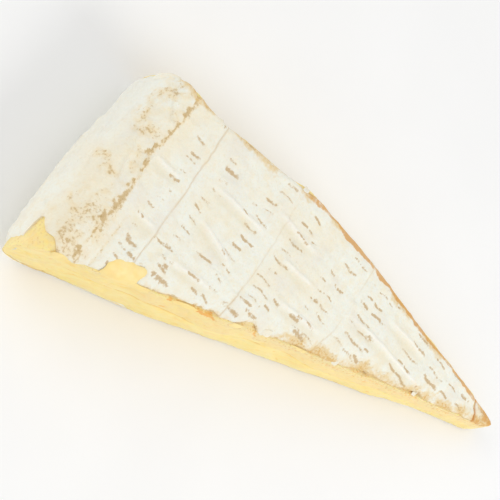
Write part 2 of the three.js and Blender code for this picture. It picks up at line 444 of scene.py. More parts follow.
def rind_profile():
    """Stations of the profile: fine over the top and the heel, coarse along the base."""
    turn = np.linspace(0.0, np.pi / 2.0, PROFILE_SAMPLES)
    nose_r, nose_z, under_r, under_z, cosine = heel_curves(turn)
    top = np.linspace(TIP_RADIUS + RIND_TIP_GAP, RIDGE_RADIUS, PROFILE_SAMPLES)
    base = np.linspace(BASE_RADIUS, TIP_RADIUS + RIND_TIP_GAP, PROFILE_SAMPLES)
    parts = [
        (top, cheese_height(top), np.ones_like(top), np.zeros_like(top)),
        (nose_r[1:], nose_z[1:], cosine[1:], np.zeros_like(turn[1:])),
        (under_r[-2::-1], under_z[-2::-1], 0.0 * turn[1:], np.linspace(0.0, 1.0, turn.size - 1)),
        (base[1:], 0.0 * base[1:], 0.0 * base[1:], np.ones_like(base[1:])),
    ]
    radius, height, relief_share, under = [np.concatenate(column) for column in zip(*parts)]
    arc = np.concatenate([[0.0], np.cumsum(np.hypot(np.diff(radius), np.diff(height)))])
    ridge_arc = arc[top.size - 1]
    foot_arc = arc[-base.size]
    fine = np.arange(0.0, foot_arc, FINE_STEP)
    coarse = np.linspace(foot_arc, arc[-1], int((arc[-1] - foot_arc) / BASE_STEP))
    at = np.concatenate([fine, coarse])
    radius, height, relief_share, under = [np.interp(at, arc, values)
                                           for values in (radius, height, relief_share, under)]
    slope_r = np.gradient(radius, at)
    slope_z = np.gradient(height, at)
    length = np.hypot(slope_r, slope_z)
    return {
        "radius": radius,
        "height": height,
        "normal_r": -slope_z / length,
        "normal_z": slope_r / length,
        "relief": relief_share,
        "under": under,
        "past": at - ridge_arc,
    }


def strip_point(profile, q):
    """A point of the rind's skin, q mm from the near edge. Outside the width it runs down a cut."""
    column = {key: values[:, None] for key, values in profile.items()}
    width = top_width(column["radius"])
    across = np.clip(2.0 * q / width - 1.0, -1.0, 1.0)
    over = np.maximum(-q, 0.0) + np.maximum(q - width, 0.0)
    drop = over + roll_drop(column["radius"], across) * (1.0 - BASE_ROLL_LOSS * column["under"])
    r = column["radius"] - drop * column["normal_r"]
    z = column["height"] - drop * column["normal_z"]
    proud = RIND_PROUD + RIND_LAP_PROUD * clamp(over)
    near = (cut_out(-1, r, z) + proud) * edge_share(-1, across)
    far = (cut_out(1, r, z) + proud) * edge_share(1, across)
    return place(r, across, z, near, far), across


def soft_strip(profile, q):
    """strip_point with its edges at the cuts rounded off."""
    middle, across = strip_point(profile, q)
    low = strip_point(profile, q - CORNER_SOFTENING)[0]
    high = strip_point(profile, q + CORNER_SOFTENING)[0]
    return 0.5 * middle + 0.25 * (low + high), across


def grid_normals(points):
    """Outward normals of a grid whose rows run towards the heel and columns to the far side."""
    return unit(np.cross(np.gradient(points, axis=1), np.gradient(points, axis=0)))


def ragged_edges(profile):
    """How far the rind laps over the near and the far cut at each station, in mm."""
    past = profile["past"]
    on_top = 1.0 - clamp(profile["under"] * 6.0)
    noise = 0.5 * line_noise(past, 9.0, 11) + 0.3 * line_noise(past, 2.6, 12)
    noise = noise + 0.16 * line_noise(past, 0.9, 13)
    near = 0.5 + noise
    for amount, measure, at, reach, power in NEAR_EDGE:
        near = near + amount * bump(profile[measure] - at, reach, power)
    near = near * on_top + (0.25 + 0.3 * noise) * (1.0 - on_top)
    far = 0.15 + 0.25 * line_noise(past, 3.0, 21) + 0.15 * line_noise(past, 0.9, 22)
    notch_depth, notch_at, notch_reach = FAR_NOTCH
    far = far - notch_depth * bump(past - notch_at, notch_reach) * on_top
    width = top_width(profile["radius"])
    return np.clip(near, -0.25 * width, 0.25 * width), np.clip(far, -0.1 * width, 0.1 * width)


def reed_frame(points):
    """Coordinates along and across the reeds of the mat."""
    along = points[..., 0] * math.cos(REED_TURN) + points[..., 1] * math.sin(REED_TURN)
    across = -points[..., 0] * math.sin(REED_TURN) + points[..., 1] * math.cos(REED_TURN)
    return along, across


def mark_masks(points):
    """Brown marks where the mat's reeds rubbed the mould off, in rows beside each crease."""
    rng = np.random.default_rng(SEED)
    along, across = reed_frame(points)
    mask = np.zeros(points.shape[:2])
    for row, chance, longest in MARK_ROWS:
        half_width = 0.5 * top_width(row)
        count = int(half_width / REED_PITCH) + 1
        for reed in range(-count, count + 1):
            draw = rng.random(6)
            side = reed * REED_PITCH + MARK_SIDE_PLAY * (draw[0] - 0.5)
            lean = side / half_width
            if abs(lean) > 1.0 or draw[1] > chance + 0.15 + 0.25 * max(-lean, 0.0):
                continue
            radius_here = (row + MARK_ALONG_PLAY * (draw[2] - 0.5)) * (1.0 - SIDE_SKEW * lean)
            centre_x = -math.sqrt(max(radius_here ** 2 - side ** 2, 1.0))
            mark_along, mark_across = reed_frame(np.array([centre_x, side]))
            half_length = longest * (0.5 + 0.5 * draw[3])
            half_breadth = MARK_BREADTH + MARK_BREADTH_PLAY * draw[4]
            half_breadth = half_breadth + MARK_BREADTH_NEAR * max(-lean, 0.0)
            strength = 0.6 + 0.4 * draw[5]
            past = along - mark_along
            drift = across - mark_across - 0.25 * np.sin(0.9 * past + 6.0 * draw[4])
            taper = fade(np.abs(past) / half_length, *MARK_FADE)
            mask = np.maximum(mask, strength * taper * bump(drift, half_breadth))
    single = np.zeros(points.shape[:2])
    for radius, sideways, half_length, half_breadth in SINGLE_MARKS:
        offset_x = points[..., 0] + math.sqrt(radius ** 2 - sideways ** 2)
        offset_y = points[..., 1] - sideways
        taper = fade(np.abs(offset_x) / half_length, *MARK_FADE)
        single = np.maximum(single, taper * bump(offset_y + 0.12 * offset_x, half_breadth))
    gaps = ease(value_noise(points, 1.3, 35) + 0.4 * value_noise(points, 0.7, 36), -0.95, -0.2)
    return np.maximum(mask * gaps, single * (0.45 + 0.5 * gaps))


def raised_reeds(points):
    """Lift of the raised lines, and the hollow on their near side, which the rind's colour darkens as
    painted shade.
    """
    lift = np.zeros(points.shape[:2])
    hollow_and_painted_shade = np.zeros(points.shape[:2])
    for start_r, start_y, end_r, end_y in RAISED_REEDS:
        a = np.array([-start_r, start_y])
        b = np.array([-end_r, end_y])
        along = b - a
        length = float(np.linalg.norm(along))
        along = along / length
        offset = points[..., :2] - a
        share = (offset @ along) / length
        distance = offset[..., 0] * along[1] - offset[..., 1] * along[0]
        taper = ease(share, -0.1, 0.25) * fade(share, 0.75, 1.1)
        lift = np.maximum(lift, taper * bump(distance, RAISED_WIDTH))
        low = bump(distance - RAISED_HOLLOW_AT, RAISED_HOLLOW_WIDTH)
        hollow_and_painted_shade = np.maximum(hollow_and_painted_shade, taper * low)
    return lift, hollow_and_painted_shade * (1.0 - lift)


def crease_relief(base, radius, across, top):
    """Relief of the stitch creases and the tip's crack, the creases' thin lines and the crack."""
    wander = 0.55 * value_noise(base, 7.0, 31) + 0.2 * value_noise(base, 2.2, 32)
    patchy = 0.12 + 0.4 * ease(value_noise(base, 11.0, 33), -0.2, 0.6) + 0.5 * ease(-across, 0.1, 0.8)
    relief = np.zeros_like(radius)
    line = np.zeros_like(radius)
    for at, strength, turn in CREASES:
        distance = radius - at - wander - CREASE_BOW * across ** 2 - turn * across
        clear = clamp(patchy + 0.5 * (at > CLEAR_CREASE_FROM))
        groove = CREASE_GROOVE * bump(distance, CREASE_WIDTH)
        lip = CREASE_LIP * bump(distance - CREASE_LIP_AT, CREASE_LIP_WIDTH)
        relief = relief + strength * clear * (lip - groove)
        line = np.maximum(line, bump(distance, CREASE_LINE_WIDTH) * ease(top, 0.5, 1.0) * clear)
    crack = bump(radius - TIP_CRACK_AT - 1.2 * wander - 2.0 * across, TIP_CRACK_WIDTH) * top
    return relief * top - TIP_CRACK_DEPTH * crack, line, crack


def skin_relief(base, past, heel, under):
    """Wrinkles by the rim and over the top, folds of the heel, lumps and grain."""
    patches = ease(value_noise(base, 10.0, 57), -0.1, 0.5)
    by_rim = wrinkle_lines(base * (1.0, 0.45, 1.0), 6.0, 51) * bump(past + 4.0, 10.0)
    over_top = wrinkle_lines(base * (0.5, 1.0, 1.0), 8.0, 55)
    relief = (RIM_WRINKLES * by_rim + FLAT_WRINKLES * over_top) * patches
    relief = relief + SKIN_LUMPS * fractal(base, 6.5, 61) + SKIN_GRAIN * fractal(base, 1.7, 71)
    folds = wrinkle_lines(base * (0.6, 0.4, 1.0), 5.0, 81) * (under < 0.5)
    return relief + (HEEL_FOLDS * folds + HEEL_LUMPS * fractal(base, 4.0, 83)) * heel


def rind_surface(profile, near, far):
    """Outer skin of the rind, with its masks for the material."""
    width = top_width(profile["radius"])[:, None]
    low = -near[:, None]
    high = width + far[:, None]
    q = low + (high - low) * np.linspace(0.0, 1.0, RIND_COLUMNS + 1)[None, :]
    base, across = soft_strip(profile, q)
    normal = grid_normals(base)
    radius = profile["radius"][:, None] + 0.0 * q
    past = profile["past"][:, None] + 0.0 * q
    top = profile["relief"][:, None]
    under = profile["under"][:, None]
    on_top = ease(top, 0.6, 1.0)
    heel = fade(top, 0.2, 0.95)
    flat = np.maximum(on_top, ease(under, 0.9, 1.0) * (past > 0))
    patchy = ease(value_noise(base, 9.0, 41), -0.3, 0.7)
    reeds = np.cos(2.0 * np.pi * reed_frame(base)[1] / REED_PITCH)
    raised, hollow_and_painted_shade = [values * on_top for values in raised_reeds(base)]
    marks = mark_masks(base) * ease(top, 0.85, 1.0)
    creases, crease_line, crack = crease_relief(base, radius, across, top)
    relief = broad_relief(radius, across) * top * bluntness(radius) + creases
    relief = relief + REED_DEPTH * reeds * flat * (0.35 + 0.65 * patchy) - MARK_DEPTH * marks
    relief = relief + RAISED_HEIGHT * raised - RAISED_HOLLOW_DEPTH * hollow_and_painted_shade
    relief = relief + skin_relief(base, past, heel, under)
    edge = np.minimum(q - low, high - q)
    relief = relief * ease(edge, -0.2, 1.2) - 0.25 * fade(edge, 0.0, 0.8)
    points = base + normal * relief[..., None]
    points[..., 2] = np.maximum(points[..., 2], FLOOR_GAP)
    masks = {
        "mark": marks,
        "crease": crease_line,
        "rub": rub_mask(base, past, across, q - low, top, radius),
        "gold": gold_mask(base, q - low, high - q, top, radius),
        # Painted highlight: the crests of the raised reed lines are made whiter in colour.
        "crest_painted_highlight": raised,
        # Painted shade: the hollow beside each raised reed line is darkened in colour.
        "hollow_and_painted_shade": hollow_and_painted_shade,
        "crack": crack,
        "warm": warm_mask(base, past, across, radius),
        # Painted shade: the heel side is greyed, most towards the far cut.
        "heel_painted_shade": heel * ease(across, -0.9, 0.9) * (1.0 - under),
        "edge": bump(edge, 0.8),
        "burn": burn_mask(base, high - q, radius, top),
    }
    return base, points, normal, masks


def rub_mask(base, past, across, from_near, top, radius):
    """Brown wear: along the rim, in specks at the heel and at the ragged near edge."""
    on_top = ease(top, 0.7, 1.0)
    noise = value_noise(base, 3.2, 101)
    fine = value_noise(base, 1.1, 102)
    wobble = 1.3 * value_noise(base, 6.0, 103) + 1.1 * fine
    rim_width = 0.85 + 0.9 * ease(value_noise(base, 8.0, 106), -0.4, 0.5)
    rim = bump(past - 0.1 - 0.4 * across - wobble, rim_width) * (0.85 + 0.25 * fine)
    rim = rim * ease(noise + 0.5 * fine + 0.7, -0.25, 0.35)
    second = bump(past + 5.5 - 0.3 * wobble, 0.8) * ease(-across, 0.4, 0.6) * 0.5
    tip = bump(radius - 12.5, 4.5) * 0.6
    near_width = 0.5 + 2.2 * ease(value_noise(base, 6.0, 105), -0.1, 0.7)
    near = bump(from_near, near_width) * on_top * fade(radius, 142.0, 152.0) * (0.45 + 0.3 * fine)
    lip = bump(from_near - 0.1, 0.5) * on_top * fade(radius, 150.0, 156.0)
    lip = lip * ease(line_noise(radius, 2.6, 108) + 0.6 * fine, -0.5, 0.2)
    rolled = 0.62 * fade(from_near, 1.0, 4.5) * fade(radius, 92.0, 104.0) * on_top * (0.75 + 0.5 * noise)
    speckle = 0.48 + 0.22 * noise + 0.22 * fine
    corner = bump(past - 4.0, 8.0, 4) * ease(-across, 0.1, 0.6) * speckle * 0.98
    heel_spots = bump(past - 7.0, 7.0) * (speckle - 0.06) * ease(value_noise(base, 6.0, 109), 0.0, 0.5)
    faint = 0.75 * ease(fractal(base, 4.0, 107), -0.3, 0.8) * bump(past - 8.0, 8.0)
    far_heel = bump(past - 6.0, 7.0) * ease(across, 0.6, 0.95) * speckle * 0.7
    parts = [rim, second, tip, lip, rolled, near, corner, heel_spots, faint, far_heel]
    return clamp(np.maximum.reduce(parts))


def gold_mask(base, from_near, from_far, top, radius):
    """Golden patches where the mould is rubbed thin: at the far cut, and rolled over the near one."""
    patchy = ease(value_noise(base, 7.0, 104), -0.2, 0.4)
    far = bump(from_far, 0.8 + 2.6 * patchy) * (0.55 + 0.45 * patchy)
    noise = value_noise(base, 3.2, 101)
    reach = 4.5 + 1.8 * value_noise(base, 9.0, 125)
    near = fade(from_near, 0.5, reach) * fade(radius, 95.0, 115.0) * (0.75 + 0.5 * noise)
    tip = 0.9 * bump(radius - TIP_RADIUS, 9.0)
    return clamp(np.maximum.reduce([far, near, tip]) * ease(top, 0.6, 1.0))


def burn_mask(base, from_far, radius, top):
    """Darker orange line along the far edge and over the tip."""
    reach = 1.3 + 0.7 * value_noise(base, 9.0, 121) + 0.3 * value_noise(base, 1.5, 122)
    line = fade(from_far, reach, reach + 1.0) * ease(top, 0.6, 1.0)
    line = line * fade(radius, 112.0, 130.0) * (0.8 + 0.3 * value_noise(base, 6.0, 124))
    tip = bump(radius - 10.5, 6.0) * (0.78 + 0.45 * value_noise(base, 2.0, 123))
    return clamp(np.maximum(line, tip * top))


def warm_mask(base, past, across, radius):
    """Where the white of the rind is warmer: in soft patches, and at the heel."""
    warm = 0.5 + 0.45 * fractal(base, 14.0, 111)
    heel_glow = bump(past - 8.0, 7.0) * ease(-across, -0.8, 0.4)
    return clamp(0.55 * warm + 0.6 * heel_glow + 0.3 * bump(radius - 165.0, 5.0))


# Paste

STATION_KEYS = ("top_r", "top_z", "base_r", "base_z", "relief")


def paste_stations():
    """Top and base edge of the slice at each station, from the tip to the nose of the heel."""
    body = np.linspace(TIP_RADIUS, RIDGE_RADIUS, PASTE_STATIONS)
    turn = np.linspace(0.0, 1.0, PASTE_NOSE_STATIONS + 1)[1:] * np.pi / 2.0
    body_base = np.linspace(TIP_RADIUS, BASE_RADIUS, PASTE_STATIONS)
    bodies = (body, cheese_height(body), body_base, 0.0 * body, np.ones_like(body))
    return {key: np.concatenate(parts)
            for key, *parts in zip(STATION_KEYS, bodies, heel_curves(turn))}


def inset_stations(stations):
    """The stations drawn in under the rind, towards the middle of the slice."""
    mid_z = 0.5 * (stations["top_z"] + stations["base_z"])
    half = np.maximum(stations["top_z"] - mid_z, 1e-6)
    shrink = np.clip((half - PASTE_INSET) / half, 0.02, 1.0)
    out = dict(stations)
    out["top_z"] = mid_z + half * shrink
    out["base_z"] = mid_z - half * shrink
    out["top_z"][-1] = out["base_z"][-1] = mid_z[-1]
    for key, start in (("top_r", RIDGE_RADIUS), ("base_r", BASE_RADIUS)):
        past = clamp((stations[key] - start) / (NOSE_RADIUS - start))
        out[key] = stations[key] - PASTE_INSET * past
    return out


def top_columns():
    """Places across of the paste's columns, closer together by the cuts."""
    return np.sin((np.linspace(0.0, 1.0, PASTE_TOP_COLUMNS + 1) - 0.5) * np.pi)


def paste_loops(stations):
    """Grid of the paste's skin: over the top, down the far cut, back under, up the near cut."""
    top_r, top_z, base_r, base_z, relief = [stations[key][:, None] for key in STATION_KEYS]
    across = top_columns()[None, :]
    lift = broad_relief(top_r, across) * bluntness(top_r)
    top_z = top_z + (lift - roll_drop(top_r, across)) * relief
    top = place(top_r, across, top_z)
    share = np.linspace(1.0, 0.0, PASTE_CUT_ROWS + 1)[None, 1:-1]
    cuts = {}
    for side, edge_z in ((1, top_z[:, -1:]), (-1, top_z[:, :1])):
        z = base_z + (edge_z - base_z) * share
        r = base_r + (top_r - base_r) * share
        out = cut_out(side, r, z)
        cuts[side] = place(r, side, z, out if side < 0 else 0.0, out if side > 0 else 0.0)
    back = across[:, ::-1]
    near = cut_out(-1, base_r, base_z) * edge_share(-1, back)
    far = cut_out(1, base_r, base_z) * edge_share(1, back)
    base = place(base_r, back, base_z + 0.0 * back, near, far)
    return np.concatenate([top, cuts[1], base, cuts[-1][:, ::-1]], axis=1)


def cut_columns():
    """Columns of the far and the near cut in the paste's loop."""
    top = PASTE_TOP_COLUMNS + 1
    cut = PASTE_CUT_ROWS - 1
    return slice(top, top + cut), slice(2 * top + cut, None)


def below_rind(stations, share, is_cut, across, profile, near):
    """Distance in mm from the near edge of the rind down over the bare paste."""
    top_r, top_z, _, base_z, _ = [stations[key][:, None] for key in STATION_KEYS]
    on_top = profile["relief"] > 0.999
    lap = np.interp(top_r, profile["radius"][on_top], near[on_top])
    down_the_top = -0.5 * (1.0 + across) * top_width(top_r)
    return np.where(is_cut > 0.5, (1.0 - share) * (top_z - base_z), down_the_top) - lap


def paste_surface(stations, profile, near):
    """The paste's skin, with its masks for the material. share is the height on a cut, 0 to 1."""
    points = paste_loops(stations)
    sideways = np.roll(points, -1, axis=1) - np.roll(points, 1, axis=1)
    normal = unit(np.cross(sideways, np.gradient(points, axis=0)))
    far_cut, near_cut = cut_columns()
    is_cut, near_side, share, top_across = np.zeros((4, points.shape[1]))
    is_cut[far_cut] = is_cut[near_cut] = 1.0
    near_side[near_cut] = near_side[:PASTE_TOP_COLUMNS // 2] = 1.0
    rows = np.linspace(1.0, 0.0, PASTE_CUT_ROWS + 1)[1:-1]
    share[far_cut] = rows
    share[near_cut] = rows[::-1]
    top_across[:PASTE_TOP_COLUMNS + 1] = top_columns()
    share = share[None, :] + 0.0 * points[..., 0]
    is_cut = is_cut[None, :] + 0.0 * share
    radius = stations["top_r"][:, None] + 0.0 * share
    ends = ease(radius, TIP_RADIUS, TIP_RADIUS + 8.0) * ease(stations["relief"][:, None], 0.0, 0.35)
    is_near = points[..., 1] < 0.0

    fold_at = FOLD_SHARE + 0.07 * line_noise(radius, 23.0, 201) - 0.10 * ease(radius, 60.0, 20.0)
    fold_at = np.where(is_near, fold_at, fold_at + FOLD_SHARE_FAR)
    fold_reach = is_cut * ease(radius, 20.0, 40.0) * fade(radius, 158.0, 172.0)
    upper = ease(share, fold_at - 0.04, fold_at + 0.10) * fold_reach
    fold = bump(share - fold_at, FOLD_WIDTH) * fold_reach
    drag = fractal(points * (0.45, 1.0, 1.0), 3.6, 211)
    cracks = wrinkle_lines(points * (0.7, 1.0, 1.0), 6.0, 215)
    lumps = fractal(points, 5.5, 221)
    grain = fractal(points, 1.3, 231)
    pits = pit_mask(points) * is_cut
    relief = KNIFE_DRAG * drag + PASTE_LUMPS * lumps + PASTE_GRAIN * grain - PASTE_CRACKS * cracks
    far_relief = FAR_FOLD_STEP * upper - FAR_FOLD_GROOVE * fold + FAR_KNIFE_DRAG * drag
    near_relief = NEAR_FOLD_STEP * upper - NEAR_FOLD_GROOVE * fold
    relief = is_cut * relief + np.where(is_near, near_relief, far_relief) - PIT_DEPTH * pits
    relief = relief + (1.0 - is_cut) * 0.06 * grain

    bare = below_rind(stations, share, is_cut, top_across[None, :], profile, near)
    dashes = ease(line_noise(radius, 3.2, 241) + 0.5 * line_noise(radius, 1.2, 242), -0.35, 0.25)
    along_edge = 0.4 + 0.6 * bump(radius - 132.0, 28.0, 4)
    # The split under the rind's near edge is a real groove; its orange-brown colour is partly the
    # paste's own and partly painted shade under the lifted rind.
    split_and_painted_shade = bump(bare - 0.9, 0.8) * near_side * dashes * along_edge * fade(radius, 156.0, 160.0)
    points = points + normal * ((relief - SPLIT_DEPTH * split_and_painted_shade) * ends)[..., None]

    far_top = (1.0 - share) * stations["top_z"][:, None] + 0.8 * lumps
    far_crust = 0.5 * is_cut * ~is_near * fade(far_top, 0.8, 3.0)
    crust = fade(bare + 0.9 * lumps, 1.0, 4.4) * near_side
    tip_tan = fade(radius, 18.0, 60.0)
    film = ease(radius, 164.0, 172.0) * ease(lumps, -0.3, 0.3) * is_near
    tan = (0.75 + 0.25 * fade(radius, 40.0, 140.0)) * upper
    masks = {
        "tan": tan * (0.75 + 0.35 * lumps) + 0.45 * tip_tan + 0.5 * film,
        "deep": pits,
        # A darker tan line just under the fold: partly the paste's own tan, partly painted shade under
        # the step of the upper band.
        "fold": bump(share - fold_at + 0.012, FOLD_WIDTH) * fold_reach * is_near,
        "split_and_painted_shade": split_and_painted_shade,
        "crust": crust * (1.0 - 0.5 * ease(radius, 100.0, 130.0)) + far_crust,
        "foot": is_cut * bump(share, 0.03 + 0.05 * ease(radius, 155.0, 172.0)),
    }
    return points, {key: clamp(values) for key, values in masks.items()}


def pit_mask(points):
    """Small eyes in the paste, a few to each square centimetre."""
    rng = np.random.default_rng(SEED + 1)
    mask = np.zeros(points.shape[:2])
    for side in (-1, 1):
        for _ in range(NEAR_PITS if side < 0 else FAR_PITS):
            radius = 20.0 + 155.0 * rng.random() ** 0.8
            height = cheese_height(radius) * (0.10 + 0.75 * rng.random())
            size = 0.4 + 0.75 * rng.random() ** 2
            offset = points - place(radius, side, height)
            apart = (offset[..., 0] / (1.3 * size)) ** 2 + (offset[..., 2] / size) ** 2
            apart = np.where(offset[..., 1] * side > -6.0, apart, apart + 9.0)
            mask = np.maximum(mask, np.exp(-apart) * (0.5 + 0.5 * rng.random()))
    return mask


# Meshes

def grid_quads(rows, columns, first=0, wrap=False, flip=False):
    ids = first + np.arange(rows * columns).reshape(rows, columns)
    after = np.roll(ids, -1, axis=1)
    if not wrap:
        ids, after = ids[:, :-1], after[:, :-1]
    quads = np.stack([ids[:-1], after[:-1], after[1:], ids[1:]], -1).reshape(-1, 4)
    return (quads[:, ::-1] if flip else quads).tolist()


def add_object(name, data):
    item = bpy.data.objects.new(name, data)
    bpy.context.scene.collection.objects.link(item)
    return item


def make_object(name, points, faces, masks, shift):
    """A closed piece from points in mm, with each mask as an attribute."""
    mesh = bpy.data.meshes.new(name)
    mesh.from_pydata(((points + shift) * MM).tolist(), [], faces)
    for key, values in masks.items():
        attribute = mesh.attributes.new(key, "FLOAT", "POINT")
        attribute.data.foreach_set("value", np.asarray(values, np.float32).ravel())
    work = bmesh.new()
    work.from_mesh(mesh)
    bmesh.ops.remove_doubles(work, verts=work.verts, dist=WELD_DISTANCE)
    bmesh.ops.dissolve_degenerate(work, edges=work.edges, dist=1e-7)
    bmesh.ops.holes_fill(work, edges=[edge for edge in work.edges if edge.is_boundary], sides=0)
    bmesh.ops.recalc_face_normals(work, faces=work.faces)
    work.to_mesh(mesh)
    work.free()
    mesh.shade_smooth()
    mesh.set_sharp_from_angle(angle=SHARP_ANGLE)
    return add_object(name, mesh)


def make_rind(shift):
    """The rind's outer skin, a coarser lining under it, and walls that join them at all edges."""
    profile = rind_profile()
    near, far = ragged_edges(profile)
    base, outer, normal, masks = rind_surface(profile, near, far)
    pick = np.linspace(0, RIND_COLUMNS, LINING_COLUMNS + 1).astype(int)
    inner = base[:, pick] - normal[:, pick] * RIND_THICKNESS
    rows, columns = outer.shape[:2]
    lining = rows * columns
    faces = grid_quads(rows, columns) + grid_quads(rows, LINING_COLUMNS + 1, lining, flip=True)
    ids = np.arange(rows * columns).reshape(rows, columns)
    inner_ids = lining + np.arange(rows * (LINING_COLUMNS + 1)).reshape(rows, -1)
    for edge, reverse in ((0, False), (-1, True)):
        wall = np.stack([ids[:-1, edge], ids[1:, edge], inner_ids[1:, edge], inner_ids[:-1, edge]], -1)
        faces += (wall[:, ::-1] if reverse else wall).tolist()
    faces.append(ids[0, ::-1].tolist() + inner_ids[0].tolist())
    faces.append(ids[-1].tolist() + inner_ids[-1, ::-1].tolist())
    points = np.concatenate([outer.reshape(-1, 3), inner.reshape(-1, 3)])
    joined = {key: np.concatenate([values.ravel(), values[:, pick].ravel()])
              for key, values in masks.items()}
    return make_object("wedge_rind", points, faces, joined, shift)


def make_paste(shift):
    stations = inset_stations(paste_stations())
    profile = rind_profile()
    points, masks = paste_surface(stations, profile, ragged_edges(profile)[0])
    faces = grid_quads(points.shape[0], points.shape[1], wrap=True)
    return make_object("wedge_paste", points.reshape(-1, 3), faces, masks, shift)


def skin_point(profile, past, q):
    """Points of the plain skin of the rind, q mm in from the near edge."""
    here = {key: np.interp(past, profile["past"], values) for key, values in profile.items()}
    return strip_point(here, q[:, None])[0][:, 0]


def patch_points(profile, patch, seed):
    """A closed lump that lies on the skin, as rings from its top round to its underside."""
    side, past_at, q_at, half_along, half_across, thickness, curl = patch
    ring = np.arange(2 * PATCH_RINGS + 1)[:, None]
    turn = (2.0 * np.pi * np.arange(PATCH_SPOKES) / PATCH_SPOKES)[None, :]
    rho = 1.0 - np.abs(ring - PATCH_RINGS) / PATCH_RINGS + 0.0 * turn
    circle = np.stack([np.cos(turn), np.sin(turn), 0.0 * turn], -1)
    outline = 1.0 + 0.18 * value_noise(circle, 0.8, seed) + 0.09 * value_noise(circle, 0.3, seed + 1)
    outline = outline * (np.abs(np.cos(turn)) ** 3 + np.abs(np.sin(turn)) ** 3) ** (-1.0 / 3.0)
    width = 0.0
    if side > 0:
        width = float(top_width(np.interp(past_at, profile["past"], profile["radius"])))
    past = (past_at + rho * outline * half_along * np.cos(turn)).ravel()
    q = (width + q_at + rho * outline * half_across * np.sin(turn)).ravel()
    skin = skin_point(profile, past, q)
    along = skin_point(profile, past + SLOPE_STEP, q) - skin_point(profile, past - SLOPE_STEP, q)
    sideways = skin_point(profile, past, q + SLOPE_STEP) - skin_point(profile, past, q - SLOPE_STEP)
    normal = unit(np.cross(sideways, along))
    rough = 1.0 + 0.35 * value_noise(skin, 2.2, seed + 2) + 0.12 * value_noise(skin, 0.9, seed + 3)
    rise = thickness * np.sqrt(clamp(1.0 - rho.ravel() ** 4)) * rough
    sunk = -0.5 * (1.0 - rho.ravel() ** 2)
    is_top = np.broadcast_to(ring <= PATCH_RINGS, rho.shape).ravel()
    lifted = curl * clamp(rho * np.sin(turn) * side).ravel() ** 2
    return skin + normal * (np.where(is_top, rise, sunk) + lifted)[:, None]


def make_patches(name, patches, seed, masks, shift):
    """Some lumps as one piece. Each mask has one value all over."""
    profile = rind_profile()
    rows = 2 * PATCH_RINGS + 1
    points, faces = [], []
    for index, patch in enumerate(patches):
        points.append(patch_points(profile, patch, seed + 10 * index))
        faces += grid_quads(rows, PATCH_SPOKES, rows * PATCH_SPOKES * index, wrap=True)
    points = np.concatenate(points)
    full = {key: np.full(len(points), value) for key, value in masks.items()}
    return make_object(name, points, faces, full, shift)


def frame_shift():
    """Moves the wedge so that its plain form lies in the solid's box."""
    points = paste_loops(paste_stations()).reshape(-1, 3)
    low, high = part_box(NODE)
    shift = 0.5 * (np.array(low) + np.array(high)) / MM - 0.5 * (points.min(0) + points.max(0))
    shift[2] = low[2] / MM - points[:, 2].min()
    return shift


# Materials. A colour has its parts from 0 to 255 in sRGB.

# Clouds of colour in the rind: size of the noise in mm, its detail, the noise where the cloud
# starts and where it is full, share of the colour, colour
RIND_CLOUDS = (
    (2.4, 5.0, 0.35, 0.75, 0.35, (241, 233, 211)),
    (4.0, 5.0, 0.46, 0.70, 0.5, (243, 230, 198)),
    (8.0, 4.0, 0.5, 0.72, 0.5, (233, 232, 226)),
    (0.9, 4.0, 0.52, 0.68, 0.3, (238, 222, 188)),
)
# Tints of painted shade and painted highlight on the rind: mask, share of the colour, colour
RIND_TINTS = (
    # painted shade greying the heel side
    ("heel_painted_shade", 0.6, (232, 232, 223)),
    # painted shade in the hollow beside the raised reed lines
    ("hollow_and_painted_shade", 0.5, (234, 224, 196)),
    # painted highlight along the crests of the raised reed lines
    ("crest_painted_highlight", 0.6, (251, 248, 238)),
)
# Stains with ragged edges: mask, size of the noise in mm, how far the noise eats in, the value
# where the stain starts and where it is full, share of the colour, colour
RIND_STAINS = (
    ("rub", 2.0, 0.9, 0.1, 0.8, 0.55, (238, 214, 164)),
    ("rub", 0.8, 1.5, 0.45, 0.85, 0.85, (206, 178, 128)),
    ("rub", 0.5, 1.7, 0.95, 1.15, 0.7, (184, 152, 100)),
    ("gold", 1.4, 1.3, 0.3, 0.9, 0.8, (232, 204, 148)),
    ("gold", 0.8, 1.6, 0.8, 1.1, 0.6, (218, 172, 98)),
    ("burn", 1.2, 0.9, 0.35, 0.8, 0.85, (218, 160, 78)),
    ("mark", 0.7, 1.2, 0.35, 0.85, 0.85, (200, 170, 124)),
)
PASTE_STAINS = (
    ("tan", 1.6, 0.7, 0.2, 0.9, 0.8, (246, 219, 158)),
    ("deep", 0.8, 0.7, 0.3, 0.9, 0.75, (248, 190, 92)),
    ("crust", 1.0, 1.0, 0.3, 0.8, 0.75, (243, 220, 164)),
    # split: orange-brown, partly the paste's own colour and partly painted shade under the lifted rind
    # edge
    ("split_and_painted_shade", 0.8, 0.8, 0.25, 0.7, 0.9, (240, 176, 82)),
    # fold: partly the paste's own tan, partly painted shade under the upper band's step
    ("fold", 2.0, 0.8, 0.2, 0.8, 0.75, (238, 200, 124)),
    ("foot", 1.5, 0.8, 0.3, 0.8, 0.7, (208, 168, 106)),
)
# Clouds that lie within a stain of the paste
PASTE_SPECKS = {
    "tan": (1.1, 5.0, 0.56, 0.66, 0.6, (246, 208, 138)),
    "crust": (0.7, 4.0, 0.54, 0.64, 0.7, (232, 188, 112)),
}


def srgb(red, green, blue):
    def linear(value):
        share = value / 255.0
        return share / 12.92 if share <= 0.04045 else ((share + 0.055) / 1.055) ** 2.4
    return (linear(red), linear(green), linear(blue), 1.0)


